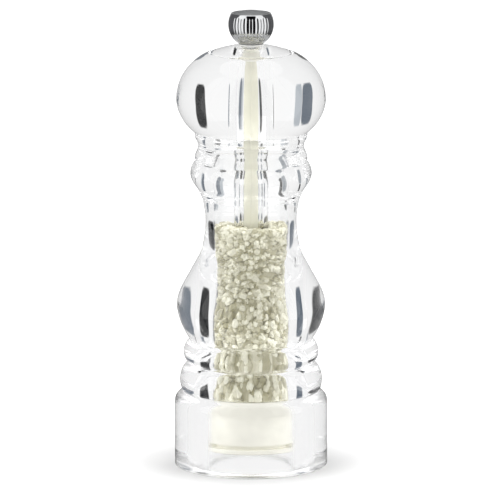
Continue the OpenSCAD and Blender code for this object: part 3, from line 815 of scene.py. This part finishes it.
class MILL_OT_knob(bpy.types.Operator):
    """Form the plated ball knob with its ribs, and the satin disc in its top"""

    bl_idname = "mill.knob"
    bl_label = "Knob"

    def execute(self, context):
        sizes = context.scene.mill_sizes
        z0, z1 = low("knob")[2], high("knob")[2]
        radius = high("knob")[0]
        centre_z = z0 + sizes.ball_centre
        rim_r = math.sqrt(radius**2 - (z1 - centre_z) ** 2)
        insert_r = high("knob_insert")[0]
        insert_z = high("knob_insert")[2] + 0.1 * MM
        cap_r = high("knob_cap")[0] + 0.05 * MM
        cap_z = low("knob_cap")[2]
        lean = np.linspace(math.asin((z0 - centre_z) / radius),
                           math.asin((z1 - centre_z) / radius), 70)
        ball = np.column_stack([radius * np.cos(lean), centre_z + radius * np.sin(lean)])
        bevel, vent_r = 0.1 * MM, 0.4 * MM
        rim = [[rim_r - 0.25 * MM, z1 + 0.12 * MM], [cap_r + bevel, z1 + bevel],
               [cap_r, z1], [cap_r, cap_z]]
        vent = [[vent_r, cap_z], [vent_r, insert_z]]
        under = [[insert_r, insert_z], [insert_r, z0 + bevel], [insert_r + bevel, z0]]
        outline = np.vstack([ball, rim, vent, under])
        count, depth = sizes.ribs, sizes.rib_depth
        foot_plain, foot_fade = 1.2 * MM, 3 * MM
        rim_plain, rim_fade = 0.9 * MM, 0.5 * MM

        def flute(r, z, a):
            wave = np.abs(np.sin(count * a / 2))
            ends = np.clip((z - z0 - foot_plain) / foot_fade, 0, 1)
            ends *= np.clip((z1 - rim_plain - z) / rim_fade, 0, 1)
            return r - np.where(r > cap_r + 0.3 * MM, depth * (1 - wave) * ends, 0)

        piece = turned("ribbed_knob", outline, [FINISHES["chrome"]], count * 14, 45, None, flute)
        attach(piece, "knob")
        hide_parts("knob")
        cap = self.disc(sizes.dome)
        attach(cap, "knob")
        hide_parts("knob_cap")
        return {"FINISHED"}

    def disc(self, dome_rise):
        """The domed disc: height falls from the middle as the square of the radius, with a
        rounded edge. Its top is bare."""
        r1 = high("knob_cap")[0]
        z0, z1 = low("knob_cap")[2], high("knob_cap")[2]
        edge_z = z0 + 1.0 * MM
        r = np.linspace(r1 - 0.25 * MM, 0, 24)
        rise = z1 + dome_rise - edge_z
        dome = np.column_stack([r, edge_z + rise * (1 - (r / r1) ** 2)])
        foot = [[0, z0], [r1 - 0.1 * MM, z0], [r1, z0 + 0.1 * MM], [r1, edge_z - 0.15 * MM]]
        outline = np.vstack([foot, dome])
        return turned("satin_disc", outline, [FINISHES["satin"]], 128, SHARP_ANGLE)


class MILL_OT_mechanism(bpy.types.Operator):
    """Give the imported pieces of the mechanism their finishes"""

    bl_idname = "mill.mechanism"
    bl_label = "Mechanism"

    def execute(self, context):
        wanted = {
            "cream": ("mechanism_housing", "ring_retainer", "guide_bridge", "guide_bush",
                      "tube_collar", "head_drive_insert"),
            "grinding": ("grinding_ring", "grinding_cone"),
            "zinc": ("retainer_screws", "cone_spring", "spring_washer", "cone_washer",
                     "cone_screw", "shaft_stud"),
            "washer": ("knob_washer",),
            "brass": ("knob_insert",),
        }
        for finish, nodes in wanted.items():
            for node in nodes:
                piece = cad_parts[node]
                piece.data.materials.clear()
                piece.data.materials.append(FINISHES[finish])
        return {"FINISHED"}


def card(name, span, reach, heights, colour, seen_in, around, top_reach=None):
    """A curved studio card round the mill, seen only in mirrors or only through clear pieces.

    It is the part of a cone of radius reach, or top_reach at its upper edge, between the two
    azimuths of span, in degrees from +X: x = r cos a, y = r sin a, z from the lower to the
    upper height. Its colour fades to around near its edges, where the fourth powers of its
    two places, each from -1 to 1 across it, add up to 1.
    """
    columns, rows = 49, 25
    across = np.linspace(-1, 1, columns)[:, None]
    up = np.linspace(-1, 1, rows)[None, :]
    a = np.radians(span[0] + (span[1] - span[0]) * (across + 1) / 2) + 0 * up
    share = (up + 1) / 2 + 0 * a
    r = reach + ((reach if top_reach is None else top_reach) - reach) * share
    z = heights[0] + (heights[1] - heights[0]) * share
    places = np.stack([r * np.cos(a), r * np.sin(a), z], -1)
    quads = grid_faces(columns, rows, False, False)
    f = Finish(name)
    full = f.node("ShaderNodeAttribute", {"attribute_name": "full"}, {}, "Fac")
    weave = f.span(f.noise(9, 2), 0.3, 0.7, 0.0, 1.0)
    cloth = f.mix(weave, tuple(0.85 * c for c in colour), colour)
    tone = f.mix(full, (around,) * 3, cloth)
    f.close(f.node("ShaderNodeEmission", {}, {"Color": tone, "Strength": 1.0}))
    piece = mesh_object(name, places.reshape(-1, 3).tolist(), quads.tolist(), [f.material])
    fade = 0.3
    whole = np.clip((1 - across**4 - up**4) / fade, 0, 1)
    layer = piece.data.attributes.new("full", "FLOAT", "POINT")
    layer.data.foreach_set("value", whole.ravel().astype(np.float32))
    piece.visible_camera = False
    piece.visible_diffuse = False
    piece.visible_shadow = False
    piece.visible_glossy = seen_in == "mirrors"
    piece.visible_transmission = seen_in == "clear"
    return piece


class MILL_OT_stage(bpy.types.Operator):
    """Set the table, the soft lamps, the cards and the camera"""

    bl_idname = "mill.stage"
    bl_label = "Studio"

    def execute(self, context):
        studio = context.scene.mill_studio
        self.world(studio)
        self.table(studio)
        self.lamps(studio)
        self.cards(studio)
        self.camera(studio)
        context.scene.view_settings.view_transform = "Standard"
        self.bounces(context.scene.cycles)
        return {"FINISHED"}

    def bounces(self, cycles):
        """Room for the long ways of light inside the clear pieces, which stay sharp after a
        matt surface too."""
        cycles.max_bounces = 40
        cycles.transmission_bounces = 40
        cycles.glossy_bounces = 32
        cycles.diffuse_bounces = 6
        cycles.blur_glossy = 0.0

    def world(self, studio):
        """White to the camera, a little greyer through clear pieces, and grey in mirrors. A
        ray that leaves a clear piece counts as both kinds, so the mirrors' share leaves it out."""
        world = bpy.data.worlds.new("studio")
        bpy.context.scene.world = world
        world.use_nodes = True
        f = Finish.over(world.node_tree)
        camera = f.node("ShaderNodeLightPath", output="Is Camera Ray")
        through = f.node("ShaderNodeLightPath", output="Is Transmission Ray")
        mirror = f.node("ShaderNodeLightPath", output="Is Glossy Ray") * (1.0 - through)
        rest = 1.0 - camera - through - mirror
        shares = camera + through * studio.through + mirror * studio.mirror + rest * studio.sky
        light = f.node("ShaderNodeBackground", {}, {"Color": (1, 1, 1, 1), "Strength": shares})
        f.close(light, "ShaderNodeOutputWorld")

    def table(self, studio):
        """A pale table that keeps the mill's shadow. It is white to the camera away from the mill,
        has the backdrop's plain tone through clear pieces and is dim in mirrors. Its camera glow
        fades out towards the mill, which paints shade round the mill on top of its real shadow."""
        f = Finish("pale_table")
        camera = f.node("ShaderNodeLightPath", output="Is Camera Ray")
        through = f.node("ShaderNodeLightPath", output="Is Transmission Ray")
        mirror = f.node("ShaderNodeLightPath", output="Is Glossy Ray") * (1.0 - through)
        tone = f.span(f.noise(14, 3), 0.3, 0.7, 0.0, 1.0)
        colour = f.mix(tone, (0.985, 0.985, 0.99), (1.0, 1.0, 1.0))
        matt = f.mix(tone, (0.61, 0.61, 0.615), (0.63, 0.63, 0.63))
        away = f.node("ShaderNodeVectorMath", {"operation": "LENGTH"}, {0: f.place()}, "Value")
        near, far = 30 * MM, 70 * MM
        # Painted shade: the glow is nothing within 30 mm of the axis and full from 70 mm, so the
        # table round the mill stays darker than far off.
        lift = f.span(away, near, far, 0.0, 1.0) * studio.table_lift
        diffuse = f.node("ShaderNodeBsdfDiffuse", {}, {"Color": matt})
        glow = f.node("ShaderNodeEmission", {}, {"Color": (1, 1, 1, 1), "Strength": camera * lift})
        shaded = f.node("ShaderNodeAddShader", {}, {0: diffuse, 1: glow})
        plain = f.node("ShaderNodeEmission", {}, {"Color": colour, "Strength": studio.through})
        dim = f.node("ShaderNodeEmission", {}, {"Color": colour, "Strength": 0.6 * studio.mirror})
        seen = f.node("ShaderNodeMixShader", {}, {0: through, 1: shaded, 2: plain})
        f.close(f.node("ShaderNodeMixShader", {}, {0: mirror, 1: seen, 2: dim}))
        half, top = 3.0, -0.1 * MM
        corners = [(-half, -half, top), (half, -half, top), (half, half, top), (-half, half, top)]
        table = mesh_object("table", corners, [(0, 1, 2, 3)], [f.material])

    def lamps(self, studio):
        """Two wide soft lamps at the sides and one overhead. They don't show in mirrors, and
        they light what stands inside the clear pieces."""
        for name, place, size, share in (
            ("lamp_left", (-0.9, -0.5, 0.7), 0.8, 1.0),
            ("lamp_right", (0.9, -0.4, 0.7), 0.8, 1.0),
            ("lamp_top", (0.0, 0.2, 1.2), 1.0, 1.2),
        ):
            lamp = bpy.data.lights.new(name, "AREA")
            lamp.shape = "SQUARE"
            lamp.size = size
            lamp.energy = studio.lamp * share
            holder = bpy.data.objects.new(name, lamp)
            bpy.context.scene.collection.objects.link(holder)
            holder.location = place
            holder.visible_glossy = False
            aim = np.array([0, 0, 0.08]) - np.array(place)
            holder.rotation_euler = direction(aim)

    def cards(self, studio):
        """Small dark cards behind draw the dark streaks of the clear pieces; a black card in
        front, bright ones beside it and a bright roof draw the ribs of the knob."""
        black, slate, grey = (0.006, 0.007, 0.008), (0.13, 0.16, 0.20), (0.30, 0.33, 0.36)
        pale = (0.5, 0.54, 0.58)
        for name, span, reach, heights, colour in (
            ("card_head_right", (61, 69.5), 0.16, (0.112, 0.184), black),
            ("card_head_left", (114.5, 126), 0.16, (0.111, 0.181), slate),
            ("card_head_pale", (109.5, 117), 0.162, (0.111, 0.181), pale),
            ("card_left", (119, 160), 0.09, (0.034, 0.092), black),
            ("card_right", (33, 62), 0.09, (0.034, 0.092), slate),
            ("card_neck_right", (36, 52), 0.042, (0.109, 0.120), grey),
        ):
            card(name, span, reach, heights, colour, "clear", studio.through)
        dark, dusk, bright = (0.004, 0.004, 0.005), (0.11, 0.11, 0.115), (1.1, 1.1, 1.1)
        tall = (-0.05, 0.42)
        for name, span, colour in (
            ("card_front", (240, 300), dark), ("box_left", (192, 241), bright),
            ("box_right", (299, 348), bright), ("card_side_left", (120, 192), dusk),
            ("card_side_right", (-12, 60), dusk),
        ):
            card(name, span, 0.17, tall, colour, "mirrors", studio.mirror)
        card("roof", (0, 360), 0.172, (0.42, 0.44), bright, "mirrors", 1.0, 0.0)

    def camera(self, studio):
        """A long lens, so that the view is almost without perspective."""
        lens = bpy.data.cameras.new("camera")
        sensor = 36.0
        lens.sensor_width = sensor
        lens.lens = sensor * studio.distance / studio.view_height
        lens.clip_end = 50.0
        view = bpy.data.objects.new("camera", lens)
        bpy.context.scene.collection.objects.link(view)
        back, rise = math.cos(studio.elevation), math.sin(studio.elevation)
        aim = np.array([-0.0004, 0.0, studio.aim_height])
        place = aim + studio.distance * np.array([0.0, -back, rise])
        view.location = place
        view.rotation_euler = direction(aim - place)
        bpy.context.scene.camera = view


def direction(way):
    """Euler angles that point a lamp or camera, which look down their own -Z, along way."""
    return Vector(way).to_track_quat("-Z", "Y").to_euler()


class MILL_PT_panel(bpy.types.Panel):
    """Lists the mill's settings and its operators"""

    bl_idname = "MILL_PT_panel"
    bl_label = "Clear salt mill"
    bl_space_type = "VIEW_3D"
    bl_region_type = "UI"
    bl_category = "Mill"

    def draw(self, context):
        scene = context.scene
        for group in (scene.mill_sizes, scene.mill_colours, scene.mill_studio):
            box = self.layout.box()
            for key in group.__annotations__:
                box.prop(group, key)
        for name in STEPS:
            self.layout.operator("mill." + name)


STEPS = ("finishes", "body", "head", "tube", "shaft", "salt", "knob", "mechanism", "stage")
GROUPS = {"mill_sizes": MillSizes, "mill_colours": MillColours, "mill_studio": MillStudio}
CLASSES = (
    MILL_OT_finishes, MILL_OT_body, MILL_OT_head, MILL_OT_tube, MILL_OT_shaft, MILL_OT_salt,
    MILL_OT_knob, MILL_OT_mechanism, MILL_OT_stage, MILL_PT_panel,
)


def register():
    for kind in (*GROUPS.values(), *CLASSES):
        bpy.utils.register_class(kind)
    for name, kind in GROUPS.items():
        setattr(bpy.types.Scene, name, PointerProperty(type=kind))


def unregister():
    for name in GROUPS:
        delattr(bpy.types.Scene, name)
    for kind in reversed((*GROUPS.values(), *CLASSES)):
        bpy.utils.unregister_class(kind)


def main():
    """Builds the mill."""
    register()
    for name in STEPS:
        getattr(bpy.ops.mill, name)()


if __name__ == "__main__":
    main()
